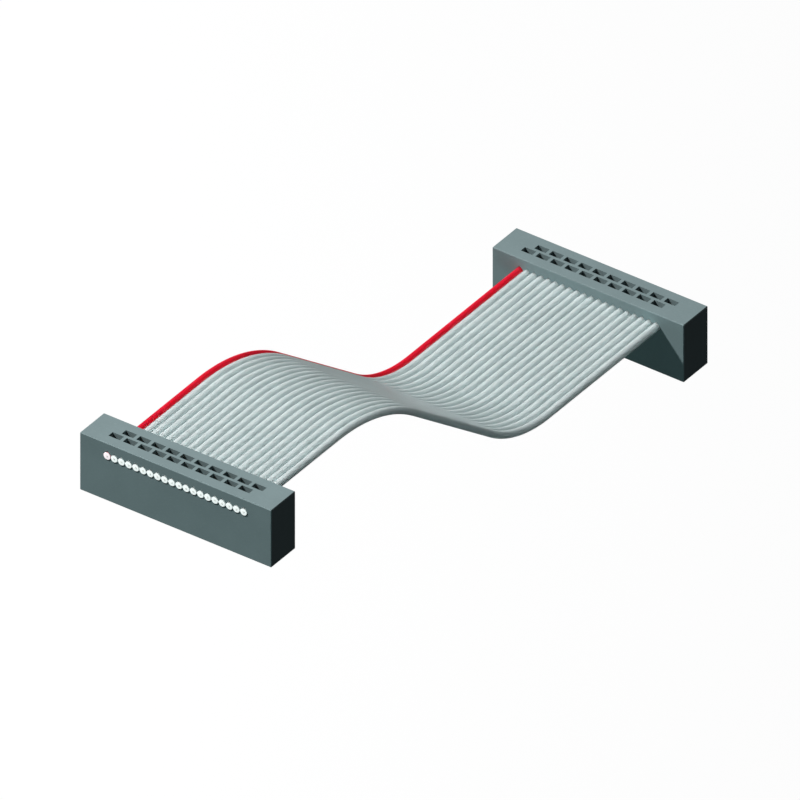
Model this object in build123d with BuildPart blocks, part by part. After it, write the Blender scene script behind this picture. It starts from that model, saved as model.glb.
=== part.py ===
"""Flat ribbon cable with an insulation displacement socket on each end.

Millimetres. X runs along the sockets, Y from the high socket to the low one, Z up.
The origin is the centre of the low socket's mating face, which looks down.
"""

import os
from math import atan2, cos, degrees, radians, sin

from build123d import *

os.makedirs("parts", exist_ok=True)

# Ways and pitches
way_count = 20
wire_pitch = 1.27
pin_pitch = 2 * wire_pitch

# Ribbon cable: ribs of insulation joined by thin webs
rib_thickness = 1.2
rib_crown = 0.4
web_thickness = 0.38
conductor_width = 0.38
cut_end_stub = 0.2

# Route of the ribbon between the sockets
socket_drop = 26.0
lead_length = 16.9
tail_length = 27.08
high_bend_radius = 31.6
low_bend_radius = 22.9
slope_angle = 37.6

# Socket housing, body and cover together
socket_width = 6.0
socket_height = 10.08
end_margin = 4.85
cable_depth = 2.2
edge_break = 0.1
cable_play = 0.03

# Cover slots over the forks
slot_length = 2.0
slot_width = 1.06
fork_row = 0.765

# Legs that hold the cover in the body
leg_length = 4.2
leg_width = 2.0
leg_depth = 3.0
leg_lead_in = 0.4
leg_play = 0.03
leg_floor_gap = 0.2

# Stamped contact: a fork for the wire above, two tines for the pin below, one of them wider
blade_thickness = 0.25
contact_play = 0.05
fork_reach = 1.05
fork_root_depth = 0.55
fork_mouth = 0.35
grip_play = 0.01
tine_reach = 0.7
plate_top = 6.8
jog_top = 6.4
jog_height = 0.6
tine_root = 5.0
tine_root_gap = 0.9
tine_throat = 2.0
tine_throat_gap = 0.56
tine_mouth_gap = 0.95

# Pin entries in the mating face
pin_hole = 0.95
entry_depth = 1.2
entry_lead_in = 0.25

# Places that follow from the sizes above
cable_height = socket_height - cable_depth
outer_wire = (way_count - 1) * wire_pitch / 2
socket_length = 2 * (outer_wire + end_margin)
pin_row = pin_pitch / 2
pin_shift = wire_pitch / 2
wire_places = [number * wire_pitch - outer_wire for number in range(way_count)]
row_sides = [1 if number % 2 else -1 for number in range(way_count)]
fork_places = [(x, side * fork_row) for x, side in zip(wire_places, row_sides)]
leg_place = (outer_wire + wire_pitch / 2 + socket_length / 2) / 2

radius_sum = high_bend_radius + low_bend_radius
arc_fall = radius_sum * (1 - cos(radians(slope_angle)))
slope_length = (socket_drop - arc_fall) / sin(radians(slope_angle))
bend_run = radius_sum * sin(radians(slope_angle)) + slope_length * cos(radians(slope_angle))
socket_spacing = socket_width + lead_length + bend_run + tail_length

low_seat = Location((0, 0, 0))
high_seat = Location((0, -socket_spacing, socket_drop))
cut_end = socket_width / 2 + cut_end_stub


def draw_ribs():
    """Draw the ribbon's section."""
    root = wire_pitch / 2
    crown = rib_crown / 2
    web = web_thickness / 2
    top = rib_thickness / 2
    with GridLocations(wire_pitch, 0, way_count, 1):
        Polygon(
            (-root, -web),
            (-crown, -top),
            (crown, -top),
            (root, -web),
            (root, web),
            (crown, top),
            (-crown, top),
            (-root, web),
        )


def draw_passage():
    """Draw the passage of the ribs, with a groove of two flats for the three of each rib."""
    flank_slope = (rib_thickness - web_thickness) / (wire_pitch - rib_crown)
    root = wire_pitch / 2 + cable_play
    web = web_thickness / 2 + cable_play
    groove = web + flank_slope * root
    with GridLocations(wire_pitch, 0, way_count, 1):
        Polygon((-root, -web), (0, -groove), (root, -web), (root, web), (0, groove), (-root, web))


def draw_conductors(row):
    """Draw the conductors of one row as squares, with few faces and flats for the tines."""
    with Locations(*[(x, 0) for x, side in zip(wire_places, row_sides) if side == row]):
        Rectangle(conductor_width, conductor_width)


def hand_in(piece, name, seat):
    """Write one piece, moved to its seat, as a node of that name."""
    placed = piece.moved(seat)
    placed.label = name
    export_step(placed, f"parts/{name}.step")


# Contact, drawn for a wire at X = 0 with its pin one shift to the right, in the negative row
fork_half = wire_pitch / 2 - grip_play
grip_half = conductor_width / 2 + grip_play
fork_top = cable_height + fork_reach
fork_root = cable_height - fork_root_depth
tine_right = pin_shift + tine_reach
tine_tip = entry_depth

with BuildPart() as contact:
    with BuildSketch(Plane.XZ):
        Polygon(
            (-fork_half, tine_tip),
            (-fork_half, fork_top),
            (-grip_half, fork_top - fork_mouth),
            (-grip_half, fork_root),
            (grip_half, fork_root),
            (grip_half, fork_top - fork_mouth),
            (fork_half, fork_top),
            (fork_half, plate_top),
            (tine_right, plate_top),
            (tine_right, tine_tip),
            (pin_shift + tine_mouth_gap / 2, tine_tip),
            (pin_shift + tine_throat_gap / 2, tine_throat),
            (pin_shift + tine_root_gap / 2, tine_root),
            (pin_shift - tine_root_gap / 2, tine_root),
            (pin_shift - tine_throat_gap / 2, tine_throat),
            (pin_shift - tine_mouth_gap / 2, tine_tip),
            align=None,
        )
    extrude(amount=socket_width / 2)
    # The strip's side view: upright under the cover slot, then jogged out to the pin row
    with BuildSketch(Plane.YZ.offset(-fork_half)):
        with BuildLine():
            Polyline(
                (-fork_row, fork_top),
                (-fork_row, jog_top),
                (-pin_row, jog_top - jog_height),
                (-pin_row, tine_tip),
            )
            offset(amount=blade_thickness / 2, side=Side.BOTH, kind=Kind.INTERSECTION)
        make_face()
    extrude(amount=fork_half + tine_right, mode=Mode.INTERSECT)

# Socket body: a cell for each contact, open above, and grooves on top for the ribs
with BuildPart() as body:
    with BuildSketch():
        Rectangle(socket_length, socket_width)
    extrude(amount=cable_height)
    chamfer(body.edges().filter_by(Axis.Z), edge_break)
    chamfer(body.faces().sort_by(Axis.Z)[0].edges(), edge_break)
    with BuildSketch(Plane.XZ.offset(socket_width / 2)):
        with Locations((0, cable_height)):
            draw_passage()
    extrude(amount=-socket_width, mode=Mode.SUBTRACT)
    # Legs' pockets
    with BuildSketch(Plane.XY.offset(cable_height)):
        with GridLocations(2 * leg_place, 0, 2, 1):
            Rectangle(leg_width + 2 * leg_play, leg_depth + 2 * leg_play)
    extrude(amount=-leg_length - leg_floor_gap, mode=Mode.SUBTRACT)
    # Cells wide enough for the fork, the jog and the tines, which stand on the cell's floor
    cell_inner = fork_row - blade_thickness / 2 - contact_play
    cell_outer = pin_row + pin_hole / 2
    cell_left = wire_pitch / 2
    cell_right = tine_right + contact_play
    with BuildSketch(Plane.XY.offset(cable_height)):
        for x, side in zip(wire_places, row_sides):
            with Locations(
                (
                    x - side * (cell_right - cell_left) / 2,
                    side * (cell_outer + cell_inner) / 2,
                )
            ):
                Rectangle(cell_left + cell_right, cell_outer - cell_inner)
    extrude(amount=entry_depth - cable_height, mode=Mode.SUBTRACT)
    # Square entries that taper inwards from the mating face
    pin_places = [(x - side * pin_shift, side * pin_row) for x, side in zip(wire_places, row_sides)]
    with BuildSketch(Plane.XY):
        with Locations(*pin_places):
            Rectangle(pin_hole + 2 * entry_lead_in, pin_hole + 2 * entry_lead_in)
    entry_taper = degrees(atan2(entry_lead_in, entry_depth))
    extrude(amount=entry_depth, taper=entry_taper, mode=Mode.SUBTRACT)

# Socket cover: pressed onto the ribbon, slotted for the forks, held by two legs
with BuildPart() as cover:
    with BuildSketch(Plane.XY.offset(cable_height)):
        Rectangle(socket_length, socket_width)
    extrude(amount=cable_depth)
    chamfer(cover.edges().filter_by(Axis.Z), edge_break)
    chamfer(cover.faces().sort_by(Axis.Z)[-1].edges(), edge_break)
    with BuildSketch(Plane.XY.offset(cable_height)):
        with GridLocations(2 * leg_place, 0, 2, 1):
            Rectangle(leg_width, leg_depth)
    extrude(amount=-leg_length)
    chamfer(cover.edges().group_by(Axis.Z)[0], leg_lead_in)
    with BuildSketch(Plane.XY.offset(socket_height)):
        with Locations(*fork_places):
            Rectangle(slot_length, slot_width)
    extrude(amount=-cable_depth, mode=Mode.SUBTRACT)
    with BuildSketch(Plane.XZ.offset(socket_width / 2)):
        with Locations((0, cable_height)):
            draw_passage()
    extrude(amount=-socket_width, mode=Mode.SUBTRACT)

# Conductor ends, each from the cable's cut end to the far side of its fork's window
window_width = blade_thickness + 2 * grip_play
conductor_ends = {}
for name, seat, outward in (("low", low_seat, 1), ("high", high_seat, -1)):
    with BuildPart() as ends:
        for row in (-1, 1):
            face = Plane((0, outward * cut_end, cable_height), x_dir=(1, 0, 0), z_dir=(0, -outward, 0))
            with BuildSketch(face):
                draw_conductors(row)
            extrude(amount=cut_end - outward * row * fork_row + window_width / 2)
    conductor_ends[name] = ends.part.moved(seat)

# Ribbon insulation along its whole route
with BuildPart() as ribbon:
    with BuildLine(Plane.YZ) as route:
        high_level = socket_drop + cable_height
        start = -socket_spacing - cut_end
        bend_start = -socket_spacing + socket_width / 2 + lead_length
        lead = Line((start, high_level), (bend_start, high_level))
        high_bend = JernArc(lead @ 1, lead % 1, high_bend_radius, -slope_angle)
        slope = PolarLine(high_bend @ 1, slope_length, direction=high_bend % 1)
        low_bend = JernArc(slope @ 1, slope % 1, low_bend_radius, slope_angle)
        tail = Line(low_bend @ 1, (cut_end, cable_height))
    with BuildSketch(Plane(origin=route.line @ 0, x_dir=(1, 0, 0), z_dir=(0, 1, 0))):
        draw_ribs()
    sweep()
    # Windows where the forks have pushed through the insulation
    for seat in (low_seat, high_seat):
        with BuildSketch(Plane.XY.offset(cable_height).moved(seat)):
            with Locations(*fork_places):
                Rectangle(wire_pitch, window_width)
        extrude(amount=rib_thickness, both=True, mode=Mode.SUBTRACT)
    for ends in conductor_ends.values():
        add(ends, mode=Mode.SUBTRACT)

ribbon.part.label = "ribbon_insulation"
export_step(ribbon.part, "parts/ribbon_insulation.step")

for name, seat in (("low", low_seat), ("high", high_seat)):
    hand_in(body.part, f"{name}_socket_body", seat)
    hand_in(cover.part, f"{name}_socket_cover", seat)
    hand_in(conductor_ends[name], f"{name}_conductor_ends", Location())
    for number, (x, side) in enumerate(zip(wire_places, row_sides), start=1):
        turn = 180 if side > 0 else 0
        place = Location((x, 0, 0), (0, 0, turn))
        hand_in(contact.part, f"{name}_contact_{number:02d}", seat * place)

print("socket length", socket_length, "spacing", round(socket_spacing, 3))
print("ribbon length", round(route.wires()[0].length, 3), "volume", round(ribbon.part.volume, 2))
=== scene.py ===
from math import cos, pi, radians, sin, tan

import bmesh
import bpy
from mathutils import Matrix, Vector


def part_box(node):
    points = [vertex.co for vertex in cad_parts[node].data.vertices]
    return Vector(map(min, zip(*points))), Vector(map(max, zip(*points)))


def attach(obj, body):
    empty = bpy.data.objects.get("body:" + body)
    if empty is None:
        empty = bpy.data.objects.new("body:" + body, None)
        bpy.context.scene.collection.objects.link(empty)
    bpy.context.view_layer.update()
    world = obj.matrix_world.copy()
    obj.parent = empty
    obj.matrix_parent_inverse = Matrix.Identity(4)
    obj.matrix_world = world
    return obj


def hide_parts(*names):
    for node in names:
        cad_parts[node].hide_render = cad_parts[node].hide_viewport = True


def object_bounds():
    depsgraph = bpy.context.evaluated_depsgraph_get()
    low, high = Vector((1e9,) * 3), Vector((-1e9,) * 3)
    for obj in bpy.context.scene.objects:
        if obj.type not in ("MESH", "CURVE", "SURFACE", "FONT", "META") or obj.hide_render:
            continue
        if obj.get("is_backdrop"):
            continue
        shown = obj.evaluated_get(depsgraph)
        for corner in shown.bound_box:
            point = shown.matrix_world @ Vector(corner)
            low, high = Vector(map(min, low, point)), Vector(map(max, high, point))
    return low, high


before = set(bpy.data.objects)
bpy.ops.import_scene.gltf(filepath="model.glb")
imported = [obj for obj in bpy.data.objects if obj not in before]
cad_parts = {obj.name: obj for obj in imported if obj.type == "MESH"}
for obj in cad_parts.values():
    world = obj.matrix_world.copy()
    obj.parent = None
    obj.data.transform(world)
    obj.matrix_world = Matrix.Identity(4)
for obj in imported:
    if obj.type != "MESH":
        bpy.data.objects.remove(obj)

bl_info = {
    "name": "Flat ribbon cable",
    "version": (1, 0, 0),
    "blender": (4, 5, 0),
    "location": "View3D > Sidebar > Flat Cable",
    "description": "Builds the looks of a ribbon cable with a socket on each end",
    "category": "Add Mesh",
}

MM = 0.001
ENDS = ("low", "high")
RIBBON_LOW, RIBBON_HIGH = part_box("ribbon_insulation")

# Points nearer to each other than this, in metres, are one point
TOUCH = 1e-7
# An edge whose faces turn by more than this is drawn sharp
SHARP = radians(40)
# A face whose normal has at least this much of Y looks along the ribbon's level runs
ALONG = 0.99
# Slots of the ribbon's materials
GREY, RED, CUT_GREY, CUT_RED = range(4)
# Sockets of the mix nodes, which go by number because their names repeat
MIX_SHARE, MIX_FIRST, MIX_SECOND, MIX_RESULT = 0, 6, 7, 2
FIRST_SHADER, SECOND_SHADER = 1, 2
# Range in which most of a noise pattern lies
MIDDLE = {"From Min": 0.3, "From Max": 0.7}


def linear(code):
    """Turn an sRGB hex value into the linear colour that Blender works in."""
    parts = [int(code[i : i + 2], 16) / 255 for i in (0, 2, 4)]
    return [p / 12.92 if p <= 0.04045 else ((p + 0.055) / 1.055) ** 2.4 for p in parts]


def length(name, text, value):
    """A size in millimetres, kept in Blender's metres."""
    return bpy.props.FloatProperty(
        name=name, description=text, default=value * MM, precision=5, unit="LENGTH"
    )


def turn(name, text, value):
    """An angle in degrees, kept in radians."""
    return bpy.props.FloatProperty(
        name=name, description=text, default=radians(value), unit="ROTATION"
    )


def number(name, text, value):
    """A plain number, such as a share or a strength."""
    return bpy.props.FloatProperty(name=name, description=text, default=value)


def count(name, text, value):
    """A whole number of things."""
    return bpy.props.IntProperty(name=name, description=text, default=value)


def direction(name, text, value):
    """A direction from the object's middle."""
    return bpy.props.FloatVectorProperty(name=name, description=text, default=value)


def colour(name, text, code):
    """A colour given as an sRGB hex value."""
    return bpy.props.FloatVectorProperty(
        name=name, description=text, default=linear(code), subtype="COLOR", min=0, max=1
    )


class RibbonSettings(bpy.types.PropertyGroup):
    """Sizes and colours of the ribbon's insulation."""

    wires: count("Wires", "Ribs side by side across the ribbon", 20)
    pitch: length("Pitch", "Distance from one wire to the next", 1.27)
    rib_diameter: length("Rib diameter", "Insulation round each wire", 1.2)
    rib_sides: count("Rib sides", "Flats round one rib, a multiple of four", 40)
    web_sides: count("Web sides", "Flats of a rib that each web covers", 4)
    lead_length: length("Lead", "Straight run outside the high socket", 16.9)
    high_bend_radius: length("High bend", "Radius of the bend near the high socket", 31.6)
    low_bend_radius: length("Low bend", "Radius of the bend near the low socket", 22.9)
    slope_angle: turn("Slope", "Fall of the ribbon between its bends", 37.6)
    bend_steps: count("Bend steps", "Steps along each bend", 20)
    stub: length("Stub", "How far the cut ends stand out of the sockets", 0.08)
    rim: length("Rim", "Width of the rounded edge round a cut end", 0.09)
    grey: colour("Insulation", "Grey vinyl of the plain wires", "CDDEDE")
    red: colour("Marked wire", "Red vinyl of the first wire", "E81630")
    # The cut colours also tint the painted glow of the cut ends
    cut_grey: colour("Cut insulation", "Sheared vinyl, whitened by the blade", "F4FAF8")
    cut_red: colour("Cut marked wire", "Sheared red vinyl, whitened by the blade", "FDF0F4")


class ConductorSettings(bpy.types.PropertyGroup):
    """Sizes and colours of the stranded conductors."""

    strand_diameter: length("Strand", "One of seven strands, 0.127 mm on this gauge", 0.127)
    strand_sides: count("Strand sides", "Flats round one strand", 8)
    proud: length("Proud", "How far the strands stand out of the insulation", 0.01)
    tip_inset: number("Tip inset", "Share of a strand's radius that its rounding takes", 0.35)
    tip_crown: number("Tip crown", "Share of a strand's radius that its tip rises", 0.25)
    # The tin and copper also tint the painted glow of the strand ends
    tin: colour("Tin", "Tin on the copper strands", "E6E7E4")
    copper: colour("Copper", "Copper that shows where the blade dragged the tin", "C79A7C")


class SocketSettings(bpy.types.PropertyGroup):
    """Colours of the sockets and their contacts."""

    housing: colour("Housing", "Grey moulded polyester", "7F9193")
    fibre: colour("Fibre bloom", "Paler streaks where glass fibre comes near the skin", "8D9FA0")
    plating: colour("Plating", "Tin on the contact strip", "D6D4CC")
    bronze: colour("Bronze", "Phosphor bronze on the sheared edges", "C08A5A")


class StageSettings(bpy.types.PropertyGroup):
    """Camera, floor and lamps."""

    azimuth: turn("Azimuth", "Camera's turn round the object", 35.46)
    elevation: turn("Elevation", "Camera's height above the horizon", 35.10)
    view_width: length("View width", "Width that the parallel camera takes in", 115.1)
    aim_right: length("Aim right", "Aim to the right of the object's middle", 0.89)
    aim_up: length("Aim up", "Aim above the object's middle", -0.32)
    camera_distance: length("Camera distance", "From the aim to the camera", 500.0)
    camera_reach: length("Camera reach", "Farthest thing that the camera sees", 10000.0)
    floor_drop: length("Floor drop", "Floor below the lower socket's mating face", 110.0)
    floor_reach: length("Floor reach", "From the floor's middle to each side", 20000.0)
    floor_white: number("Floor white", "Share of the seen floor that is white in shadow too", 0.8)
    floor_bounce: number("Floor bounce", "Share of the light that the floor throws back", 0.05)
    lamp_distance: length("Lamp distance", "From the object's middle to each lamp", 1180.0)
    lamp_size: turn("Lamp size", "Each lamp as seen from the object, for soft shadow edges", 4)
    key_from: direction("Key from", "Direction to the key lamp", (-0.87, -0.38, 1.0))
    key_strength: number("Key strength", "Irradiance of the key lamp", 4.3)
    fill_from: direction("Fill from", "Direction to the fill lamp", (0.1, -1.0, 0.0))
    fill_strength: number("Fill strength", "Irradiance of the fill lamp", 0.3)
    fill_colour: colour("Fill colour", "Cool light of the fill lamp", "C9FFFF")
    ambient: colour("Ambient", "Dim light from all round", "39393B")
    paper: colour("Paper", "Floor and background as the camera sees them", "FFFFFF")


def set_inputs(node, inputs):
    """Set a node's inputs to values, or link them from sockets."""
    for name, value in inputs.items():
        if isinstance(value, bpy.types.NodeSocket):
            node.id_data.links.new(value, node.inputs[name])
        else:
            node.inputs[name].default_value = value


def add_node(tree, kind, inputs=None, **settings):
    """Add a node with its settings and its inputs."""
    node = tree.nodes.new(kind)
    for name, value in settings.items():
        setattr(node, name, value)
    set_inputs(node, inputs or {})
    return node


def start_material(name):
    """Start a material, and give its tree, its shader and the piece's own coordinates."""
    material = bpy.data.materials.new(name)
    material.use_nodes = True
    tree = material.node_tree
    place = add_node(tree, "ShaderNodeTexCoord").outputs["Object"]
    return material, tree, tree.nodes["Principled BSDF"], place


def grain(tree, place, size, detail=2.0, stretch=(1, 1, 1)):
    """A pattern whose features are about that size, drawn out by the stretch."""
    spread = [1 / (size * part) for part in stretch]
    scaled = add_node(tree, "ShaderNodeMapping", {"Vector": place, "Scale": spread})
    noise = add_node(
        tree, "ShaderNodeTexNoise", {"Vector": scaled.outputs[0], "Scale": 1.0, "Detail": detail}
    )
    return noise.outputs["Fac"]


def blend(tree, pattern, span, first, second):
    """A first colour that gives way to a second where a pattern rises through a span."""
    share = add_node(tree, "ShaderNodeMapRange", {"Value": pattern, **span})
    mix = add_node(
        tree,
        "ShaderNodeMix",
        {MIX_SHARE: share.outputs[0], MIX_FIRST: first, MIX_SECOND: second},
        data_type="RGBA",
    )
    return mix.outputs[MIX_RESULT]


def tone(base, change=0.0):
    """A colour with its alpha, made paler or darker by a share."""
    return [min(1.0, part * (1 + change)) for part in base] + [1.0]


def paint_glow(material, shader, light, strength):
    """Paint light onto a surface: an emission in the given colour, so it looks lit though it is no
    lamp, and is not sampled as one.
    """
    set_inputs(shader, {"Emission Color": light, "Emission Strength": strength})
    material.cycles.emission_sampling = "NONE"


def extruded_vinyl(name, base):
    """Flexible PVC, drawn through a die: satin, with faint lines along the run."""
    material, tree, shader, place = start_material(name)
    # Real die lines are some hundredths of a millimetre wide, and these are drawn at 0.16 mm
    across = add_node(tree, "ShaderNodeSeparateXYZ", {"Vector": place}).outputs["X"]
    lines = add_node(
        tree,
        "ShaderNodeTexNoise",
        {"W": across, "Scale": 1 / (0.16 * MM), "Detail": 1.0},
        noise_dimensions="1D",
    ).outputs["Fac"]
    relief = add_node(
        tree, "ShaderNodeBump", {"Height": lines, "Strength": 0.2, "Distance": 0.005 * MM}
    )
    # The skin ripples at some tenths of a millimetre, and its colour drifts over millimetres
    skin = grain(tree, place, 0.3 * MM)
    cloud = grain(tree, place, 3.5 * MM)
    relief = add_node(
        tree,
        "ShaderNodeBump",
        {"Height": skin, "Strength": 0.2, "Distance": 0.004 * MM, "Normal": relief.outputs[0]},
    )
    satin = add_node(
        tree, "ShaderNodeMapRange", {"Value": cloud, **MIDDLE, "To Min": 0.28, "To Max": 0.36}
    )
    set_inputs(
        shader,
        {
            "Base Color": blend(tree, cloud, MIDDLE, tone(base, -0.035), tone(base, 0.035)),
            "Roughness": satin.outputs[0],
            "Normal": relief.outputs[0],
            "IOR": 1.53,
            # Filled vinyl lets light a little way in, which fills the grooves between the ribs
            "Subsurface Weight": 1.0,
            "Subsurface Scale": 3.0 * MM,
            "Subsurface Radius": (1.0, 1.0, 1.0),
        },
    )
    return material


def cut_vinyl(name, base):
    """Flexible PVC where the blade went through: dull, torn fine and stressed nearly white.

    The cut faces also glow with painted light, an emission in their own colour, so they look
    brighter than the lamps make them.
    """
    material, tree, shader, place = start_material(name)
    # Tears along the blade's stroke are finer than this, and are drawn at 0.12 mm by 0.36 mm
    tear = grain(tree, place, 0.12 * MM, detail=3.0, stretch=(1, 1, 3))
    whitened_and_glow = blend(tree, tear, MIDDLE, tone(base, -0.05), tone(base, 0.03))
    relief = add_node(
        tree, "ShaderNodeBump", {"Height": tear, "Strength": 0.3, "Distance": 0.015 * MM}
    )
    set_inputs(
        shader,
        {
            "Base Color": whitened_and_glow,
            "Roughness": 0.6,
            "Normal": relief.outputs[0],
            "IOR": 1.53,
        },
    )
    # Painted light: the cut faces glow at 0.55 in their whitened colour, which no lamp gives
    paint_glow(material, shader, whitened_and_glow, 0.55)
    return material


def moulded_polyester(name, base, bloom):
    """Glass filled polyester, injection moulded in a spark eroded mould: an even, fine matt."""
    material, tree, shader, place = start_material(name)
    # Flow marks are some millimetres wide
    flow = grain(tree, place, 6 * MM)
    # Chopped fibres are 0.01 mm thick, and these streaks are drawn at 0.1 mm by 0.6 mm
    fibre = grain(tree, place, 0.1 * MM, stretch=(6, 1, 1))
    # Spark erosion leaves pits of some 0.05 mm, and these are drawn at 0.22 mm
    pits = grain(tree, place, 0.22 * MM, detail=3.0)
    ground = blend(tree, flow, MIDDLE, tone(base, -0.04), tone(base, 0.04))
    streaks = {"From Min": 0.55, "From Max": 0.75, "To Max": 0.5}
    matt = add_node(
        tree, "ShaderNodeMapRange", {"Value": flow, **MIDDLE, "To Min": 0.56, "To Max": 0.66}
    )
    relief = add_node(
        tree, "ShaderNodeBump", {"Height": pits, "Strength": 0.35, "Distance": 0.015 * MM}
    )
    set_inputs(
        shader,
        {
            "Base Color": blend(tree, fibre, streaks, ground, tone(bloom)),
            "Roughness": matt.outputs[0],
            "Normal": relief.outputs[0],
            "IOR": 1.55,
            "Specular IOR Level": 0.15,
        },
    )
    return material


def plated_bronze(name, plating, bronze):
    """Phosphor bronze strip, rolled and tin plated, then stamped: bare bronze on the edges."""
    material, tree, shader, place = start_material(name)
    # Rolling lines run along the strip, and are drawn at 0.05 mm by 2 mm
    rolled = grain(tree, place, 0.05 * MM, stretch=(1, 1, 40))
    # The strip's flats look along Y, and its sheared edges don't
    facing = add_node(tree, "ShaderNodeNewGeometry").outputs["Normal"]
    along_y = add_node(tree, "ShaderNodeSeparateXYZ", {"Vector": facing}).outputs["Y"]
    flat = add_node(tree, "ShaderNodeMath", {0: along_y}, operation="ABSOLUTE").outputs[0]
    plated = {"From Min": 0.4, "From Max": 0.6}
    sheen = add_node(
        tree, "ShaderNodeMapRange", {"Value": rolled, **MIDDLE, "To Min": 0.22, "To Max": 0.36}
    )
    relief = add_node(
        tree, "ShaderNodeBump", {"Height": rolled, "Strength": 0.2, "Distance": 0.004 * MM}
    )
    set_inputs(
        shader,
        {
            "Base Color": blend(tree, flat, plated, tone(bronze), tone(plating)),
            "Roughness": sheen.outputs[0],
            "Normal": relief.outputs[0],
            "Metallic": 1.0,
        },
    )
    return material


def tinned_copper(name, tin, copper):
    """Copper wire drawn through molten tin, with copper where the blade dragged.

    The blade also smears vinyl over the ends, so they shine like metal only in part; they also glow
    with painted light in their own colour, like the cut vinyl round them.
    """
    material, tree, shader, place = start_material(name)
    # Drag marks are finer than this, and are drawn at 0.08 mm by 0.16 mm
    drag = grain(tree, place, 0.08 * MM, stretch=(1, 1, 2))
    bared = {"From Min": 0.5, "From Max": 0.75, "To Max": 0.35}
    wiped_and_glow = blend(tree, drag, bared, tone(tin), tone(copper))
    dull = add_node(
        tree, "ShaderNodeMapRange", {"Value": drag, **MIDDLE, "To Min": 0.35, "To Max": 0.5}
    )
    set_inputs(shader, {"Base Color": wiped_and_glow, "Roughness": dull.outputs[0], "Metallic": 0.4})
    # Painted light: the strand ends glow at 0.3 in their own colour, which no lamp gives
    paint_glow(material, shader, wiped_and_glow, 0.3)
    return material


def add_object(name, data):
    """Put an object made of that data into the scene."""
    made = bpy.data.objects.new(name, data)
    bpy.context.scene.collection.objects.link(made)
    return made


def add_mesh(bm, name, materials):
    """Put a bmesh into the scene."""
    mesh = bpy.data.meshes.new(name)
    bm.to_mesh(mesh)
    bm.free()
    for material in materials:
        mesh.materials.append(material)
    return add_object(name, mesh)


def finish_mesh(bm, name, materials):
    """Turn a bmesh into a piece that rides on the part, smooth but for its sharp edges."""
    bmesh.ops.recalc_face_normals(bm, faces=bm.faces)
    for face in bm.faces:
        face.smooth = True
    for edge in bm.edges:
        if len(edge.link_faces) == 2 and edge.calc_face_angle() > SHARP:
            edge.smooth = False
    piece = add_mesh(bm, name, materials)
    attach(piece, "root")
    return piece


def finish_nodes(names, material):
    """Give CAD nodes a material in place of the plain one that they came with."""
    for name in names:
        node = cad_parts[name]
        node.data.materials.clear()
        node.data.materials.append(material)


def only(kind, items):
    """The vertices, edges or faces among what an operator made."""
    return [item for item in items if isinstance(item, kind)]


def push(bm, front, step):
    """Extrude a front by a step, and give the new front."""
    made = bmesh.ops.extrude_face_region(bm, geom=front)["geom"]
    bmesh.ops.translate(bm, verts=only(bmesh.types.BMVert, made), vec=step)
    return made


def run(bm, front, place, heading, distance):
    """Push a front straight on, and give it with its new place."""
    step = Vector((0, cos(heading), sin(heading))) * distance
    return push(bm, front, step), place + step


def bend(bm, front, place, heading, radius, angle, steps):
    """Swing a front up or down about the bend's centre, and give it with its new place."""
    way = 1 if angle > 0 else -1
    centre = place + Vector((0, -sin(heading), cos(heading))) * radius * way
    made = bmesh.ops.spin(
        bm,
        geom=front,
        cent=centre,
        axis=(1, 0, 0),
        angle=angle,
        steps=steps,
        use_duplicate=False,
    )
    arm = Matrix.Rotation(angle, 3, "X") @ (place - centre)
    return made["geom_last"], centre + arm


def wire_places(ribbon):
    """Where each wire lies across the ribbon."""
    outer = (ribbon.wires - 1) * ribbon.pitch / 2
    return [index * ribbon.pitch - outer for index in range(ribbon.wires)]


def cut_ends(ribbon):
    """Where the ribbon is cut outside the high socket and outside the low one."""
    high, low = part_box("high_socket_body"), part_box("low_socket_body")
    return high[0].y - ribbon.stub, low[1].y + ribbon.stub


def draw_section(bm, ribbon, start, level):
    """Draw the ribbon's section at its high cut end: a disc for each rib, and webs between."""
    upright = Matrix.Rotation(pi / 2, 4, "X")
    radius = ribbon.rib_diameter / 2
    reach = radius * cos(pi * ribbon.web_sides / ribbon.rib_sides)
    sides = []
    for x in wire_places(ribbon):
        disc = bmesh.ops.create_circle(
            bm,
            cap_ends=True,
            segments=ribbon.rib_sides,
            radius=radius,
            matrix=Matrix.Translation((x, start, level)) @ upright,
        )
        rims = {e for v in disc["verts"] for e in v.link_edges}
        sides.append(
            [
                [e for e in rims if all((v.co.x - x) * way > reach - TOUCH for v in e.verts)]
                for way in (-1, 1)
            ]
        )
    for left, right in zip(sides, sides[1:]):
        bmesh.ops.bridge_loops(bm, edges=left[1] + right[0])


def follow_route(bm, ribbon, start, end, level):
    """Push the section along the route: run, bend, slope, bend and run."""
    drop = (RIBBON_HIGH.z - RIBBON_LOW.z) - ribbon.rib_diameter
    steep = ribbon.slope_angle
    bends_fall = (ribbon.high_bend_radius + ribbon.low_bend_radius) * (1 - cos(steep))
    slope = (drop - bends_fall) / sin(steep)
    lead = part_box("high_socket_body")[1].y + ribbon.lead_length - start
    steps = ribbon.bend_steps
    place = Vector((0, start, level))
    front = bm.verts[:] + bm.edges[:] + bm.faces[:]
    # A short run beside each cut end keeps the rim's curve out of the long run's shading
    front, place = run(bm, front, place, 0.0, ribbon.rim)
    front, place = run(bm, front, place, 0.0, lead - ribbon.rim)
    front, place = bend(bm, front, place, 0.0, ribbon.high_bend_radius, -steep, steps)
    front, place = run(bm, front, place, -steep, slope)
    front, place = bend(bm, front, place, -steep, ribbon.low_bend_radius, steep, steps)
    front, place = run(bm, front, place, 0.0, end - place.y - ribbon.rim)
    run(bm, front, place, 0.0, ribbon.rim)


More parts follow.
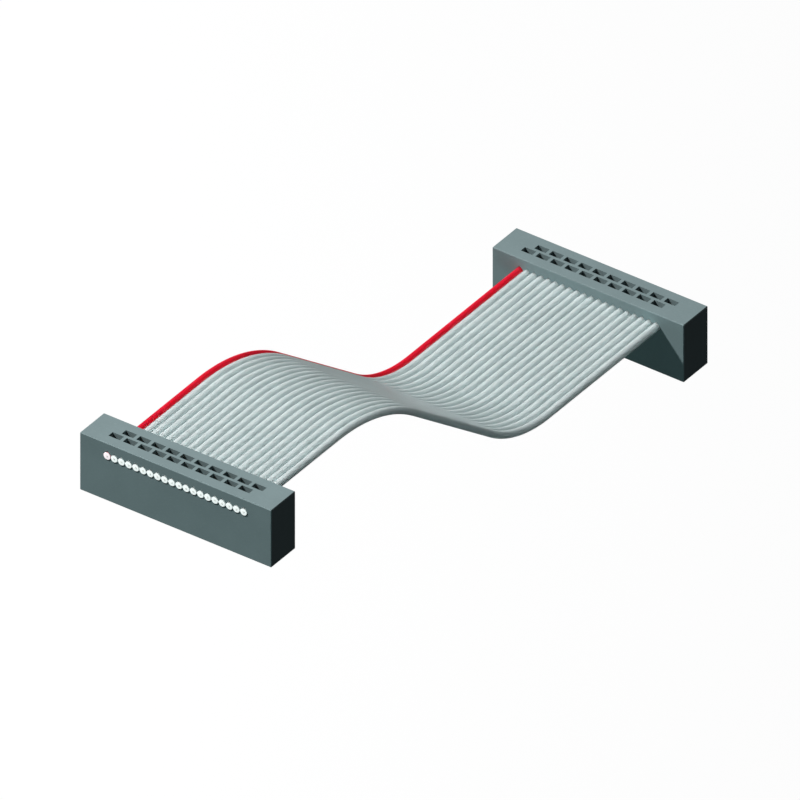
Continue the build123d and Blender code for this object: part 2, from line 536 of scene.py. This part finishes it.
class FLATCABLE_OT_insulation(bpy.types.Operator):
    """Extrude the ribbon's insulation along its route, with cut ends"""

    bl_idname = "flat_cable.insulation"
    bl_label = "Ribbon insulation"

    def execute(self, context):
        ribbon = context.scene.flat_cable_ribbon
        level = RIBBON_HIGH.z - ribbon.rib_diameter / 2
        start, end = cut_ends(ribbon)
        crown = ribbon.rim / 2
        marked_edge = wire_places(ribbon)[0] + ribbon.pitch / 2
        bm = bmesh.new()
        draw_section(bm, ribbon, start + crown, level)
        follow_route(bm, ribbon, start + crown, end - crown, level)
        bmesh.ops.remove_doubles(bm, verts=bm.verts, dist=TOUCH)
        bmesh.ops.recalc_face_normals(bm, faces=bm.faces)
        self.choose_materials(bm, marked_edge)
        self.round_ends(bm, ribbon, crown, marked_edge)
        # The web beside the marked wire is half red, and shows red where it was cut
        for face in bm.faces:
            beside = abs(face.calc_center_median().x - marked_edge) < ribbon.rim
            if beside and face.material_index == CUT_GREY:
                face.material_index = RED
        # In the order of the slots
        materials = [
            extruded_vinyl("extruded vinyl, grey", ribbon.grey),
            extruded_vinyl("extruded vinyl, red", ribbon.red),
            cut_vinyl("sheared vinyl, grey wires", ribbon.cut_grey),
            cut_vinyl("sheared vinyl, red wire", ribbon.cut_red),
        ]
        piece = finish_mesh(bm, "ribbon", materials)
        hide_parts("ribbon_insulation")
        return {"FINISHED"}

    def choose_materials(self, bm, marked_edge):
        """Tell the marked wire's faces from the others, and the cut faces from the skin."""
        for face in bm.faces:
            cut = abs(face.normal.y) > ALONG
            grey, red = (CUT_GREY, CUT_RED) if cut else (GREY, RED)
            marked = face.calc_center_median().x < marked_edge
            face.material_index = red if marked else grey

    def round_ends(self, bm, ribbon, crown, marked_edge):
        """Round off the edge of each cut rib with three insets, and leave its middle flat."""
        discs = [f for f in bm.faces if len(f.verts) == ribbon.rib_sides]
        angles = [radians(part) for part in (0, 30, 60, 90)]
        for inner, outer in zip(angles[1:], angles):
            made = bmesh.ops.inset_individual(
                bm,
                faces=discs,
                thickness=ribbon.rim * (cos(outer) - cos(inner)),
                depth=crown * (sin(inner) - sin(outer)),
                use_even_offset=True,
            )
            # The outer bands of the grey wires keep the colour of the skin
            if inner < angles[-1]:
                for face in made["faces"]:
                    if face.calc_center_median().x > marked_edge:
                        face.material_index = GREY


class FLATCABLE_OT_conductors(bpy.types.Operator):
    """Lay seven tinned strands in each wire's end"""

    bl_idname = "flat_cable.conductors"
    bl_label = "Conductor strands"

    def execute(self, context):
        ribbon = context.scene.flat_cable_ribbon
        wire = context.scene.flat_cable_conductor
        metal = tinned_copper("tinned copper", wire.tin, wire.copper)
        for end in ENDS:
            low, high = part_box(f"{end}_conductor_ends")
            outward = 1 if end == "low" else -1
            tip = cut_ends(ribbon)[end == "low"] + outward * wire.proud
            level = (low.z + high.z) / 2
            bm = bmesh.new()
            self.add_bundles(bm, ribbon, wire, tip, outward, level, high.y - low.y)
            piece = finish_mesh(bm, f"{end}_conductor_strands", [metal])
            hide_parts(f"{end}_conductor_ends")
        return {"FINISHED"}

    def add_bundles(self, bm, ribbon, wire, tip, outward, level, reach):
        """Make one strand, turn it round the middle one, and repeat the bundle across."""
        upright = Matrix.Rotation(pi / 2, 4, "X")
        radius = wire.strand_diameter / 2
        middle = Vector((wire_places(ribbon)[0], tip - outward * reach, level))
        for distance, strands in ((0.0, 1), (wire.strand_diameter, 6)):
            strand = bmesh.ops.create_circle(
                bm,
                cap_ends=True,
                segments=wire.strand_sides,
                radius=radius,
                matrix=Matrix.Translation(middle + Vector((distance, 0, 0))) @ upright,
            )
            start = list({f for v in strand["verts"] for f in v.link_faces})
            made = push(bm, start, (0, outward * reach, 0))
            bmesh.ops.inset_individual(
                bm,
                faces=only(bmesh.types.BMFace, made),
                thickness=radius * wire.tip_inset,
                depth=radius * wire.tip_crown,
            )
            if strands > 1:
                self.turn_round(bm, middle, radius, strands)
        bmesh.ops.spin(
            bm,
            geom=bm.verts[:] + bm.edges[:] + bm.faces[:],
            cent=middle,
            axis=(0, 1, 0),
            dvec=(ribbon.pitch, 0, 0),
            angle=0,
            steps=ribbon.wires - 1,
            use_duplicate=True,
        )

    def turn_round(self, bm, middle, radius, strands):
        """Repeat what stands clear of the middle strand, at even angles round it."""
        clear = radius * 1.01
        outside = {v for v in bm.verts if (v.co - middle).xz.length > clear}
        bmesh.ops.spin(
            bm,
            geom=[f for f in bm.faces if all(v in outside for v in f.verts)],
            cent=middle,
            axis=(0, 1, 0),
            angle=2 * pi * (strands - 1) / strands,
            steps=strands - 1,
            use_duplicate=True,
        )


class FLATCABLE_OT_housings(bpy.types.Operator):
    """Finish the socket bodies and covers as moulded polyester"""

    bl_idname = "flat_cable.housings"
    bl_label = "Socket housings"

    def execute(self, context):
        socket = context.scene.flat_cable_socket
        moulded = moulded_polyester("glass filled polyester, moulded", socket.housing, socket.fibre)
        names = [f"{end}_socket_{part}" for end in ENDS for part in ("body", "cover")]
        finish_nodes(names, moulded)
        return {"FINISHED"}


class FLATCABLE_OT_contacts(bpy.types.Operator):
    """Finish the stamped contacts as plated bronze"""

    bl_idname = "flat_cable.contacts"
    bl_label = "Contacts"

    def execute(self, context):
        socket = context.scene.flat_cable_socket
        strip = plated_bronze("phosphor bronze, tin plated", socket.plating, socket.bronze)
        finish_nodes([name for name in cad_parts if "_contact_" in name], strip)
        return {"FINISHED"}


class FLATCABLE_OT_stage(bpy.types.Operator):
    """Set up the floor, the two lamps, the dim surroundings and the parallel camera"""

    bl_idname = "flat_cable.stage"
    bl_label = "Stage"

    def execute(self, context):
        stage = context.scene.flat_cable_stage
        self.lay_floor(stage)
        self.hang_lamp("key lamp", stage.key_from, stage.key_strength, stage.paper, stage)
        self.hang_lamp(
            "fill lamp", stage.fill_from, stage.fill_strength, stage.fill_colour, stage
        )
        self.fill_world(context, stage)
        self.place_camera(context, stage)
        context.scene.view_settings.view_transform = "Standard"
        return {"FINISHED"}

    def lay_floor(self, stage):
        """A white sheet on which shadows are faint, and that throws little light back."""
        material = bpy.data.materials.new("white paper floor")
        material.use_nodes = True
        tree = material.node_tree
        tree.nodes.remove(tree.nodes["Principled BSDF"])
        white = tone(stage.paper)
        dark = [stage.floor_bounce] * 3 + [1.0]
        rays = add_node(tree, "ShaderNodeLightPath")
        lit = add_node(tree, "ShaderNodeBsdfDiffuse", {"Color": white})
        bright = add_node(tree, "ShaderNodeEmission", {"Color": white, "Strength": 1.0})
        dim = add_node(tree, "ShaderNodeBsdfDiffuse", {"Color": dark})
        seen = add_node(
            tree,
            "ShaderNodeMixShader",
            {
                MIX_SHARE: stage.floor_white,
                FIRST_SHADER: lit.outputs[0],
                SECOND_SHADER: bright.outputs[0],
            },
        )
        look = add_node(
            tree,
            "ShaderNodeMixShader",
            {
                MIX_SHARE: rays.outputs["Is Camera Ray"],
                FIRST_SHADER: dim.outputs[0],
                SECOND_SHADER: seen.outputs[0],
            },
        )
        set_inputs(tree.nodes["Material Output"], {"Surface": look.outputs[0]})
        bm = bmesh.new()
        level = Matrix.Translation((0, 0, -stage.floor_drop))
        bmesh.ops.create_grid(bm, x_segments=1, y_segments=1, size=stage.floor_reach, matrix=level)
        floor = add_mesh(bm, "floor", [material])
        floor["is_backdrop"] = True

    def hang_lamp(self, name, toward, strength, light_colour, stage):
        """A round studio lamp that gives that strength at the object's middle."""
        low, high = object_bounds()
        light = bpy.data.lights.new(name, "POINT")
        light.color = light_colour
        light.energy = strength * 4 * pi * stage.lamp_distance**2
        light.shadow_soft_size = stage.lamp_distance * tan(stage.lamp_size / 2)
        lamp = add_object(name, light)
        lamp.location = (low + high) / 2 + Vector(toward).normalized() * stage.lamp_distance

    def fill_world(self, context, stage):
        """White behind the object, and dim as a light and in gloss, as in a dark studio."""
        world = bpy.data.worlds.new("studio")
        world.use_nodes = True
        tree = world.node_tree
        rays = add_node(tree, "ShaderNodeLightPath")
        look = add_node(
            tree,
            "ShaderNodeMix",
            {
                MIX_SHARE: rays.outputs["Is Camera Ray"],
                MIX_FIRST: tone(stage.ambient),
                MIX_SECOND: tone(stage.paper),
            },
            data_type="RGBA",
        )
        set_inputs(tree.nodes["Background"], {"Color": look.outputs[MIX_RESULT]})
        context.scene.world = world

    def place_camera(self, context, stage):
        """A parallel camera at the photograph's angle."""
        low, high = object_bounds()
        turned = Matrix.Rotation(stage.azimuth, 3, "Z")
        right = turned @ Vector((1, 0, 0))
        back = turned @ Vector((0, -cos(stage.elevation), sin(stage.elevation)))
        up = back.cross(right)
        aim = (low + high) / 2 + right * stage.aim_right + up * stage.aim_up
        lens = bpy.data.cameras.new("camera")
        lens.type = "ORTHO"
        lens.ortho_scale = stage.view_width
        lens.clip_end = stage.camera_reach
        camera = add_object("camera", lens)
        camera.matrix_world = Matrix.Translation(aim + back * stage.camera_distance) @ (
            Matrix((right, up, back)).transposed().to_4x4()
        )
        context.scene.camera = camera


class FLATCABLE_PT_panel(bpy.types.Panel):
    """Sizes, colours and steps of the flat cable"""

    bl_label = "Flat Cable"
    bl_idname = "FLATCABLE_PT_panel"
    bl_space_type = "VIEW_3D"
    bl_region_type = "UI"
    bl_category = "Flat Cable"

    def draw(self, context):
        for name, settings in SETTINGS.items():
            box = self.layout.box()
            box.label(text=settings.__doc__)
            group = getattr(context.scene, name)
            for key in settings.__annotations__:
                box.prop(group, key)
        for step in STEPS:
            self.layout.operator(step.bl_idname)


SETTINGS = {
    "flat_cable_ribbon": RibbonSettings,
    "flat_cable_conductor": ConductorSettings,
    "flat_cable_socket": SocketSettings,
    "flat_cable_stage": StageSettings,
}
STEPS = (
    FLATCABLE_OT_insulation,
    FLATCABLE_OT_conductors,
    FLATCABLE_OT_housings,
    FLATCABLE_OT_contacts,
    FLATCABLE_OT_stage,
)


def register():
    for settings in (*SETTINGS.values(), *STEPS, FLATCABLE_PT_panel):
        bpy.utils.register_class(settings)
    for name, settings in SETTINGS.items():
        setattr(bpy.types.Scene, name, bpy.props.PointerProperty(type=settings))


def unregister():
    for name in SETTINGS:
        delattr(bpy.types.Scene, name)
    for settings in (FLATCABLE_PT_panel, *reversed(STEPS), *SETTINGS.values()):
        bpy.utils.unregister_class(settings)


def main():
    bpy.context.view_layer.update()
    register()
    for step in STEPS:
        group, name = step.bl_idname.split(".")
        getattr(getattr(bpy.ops, group), name)()


if __name__ == "__main__":
    main()
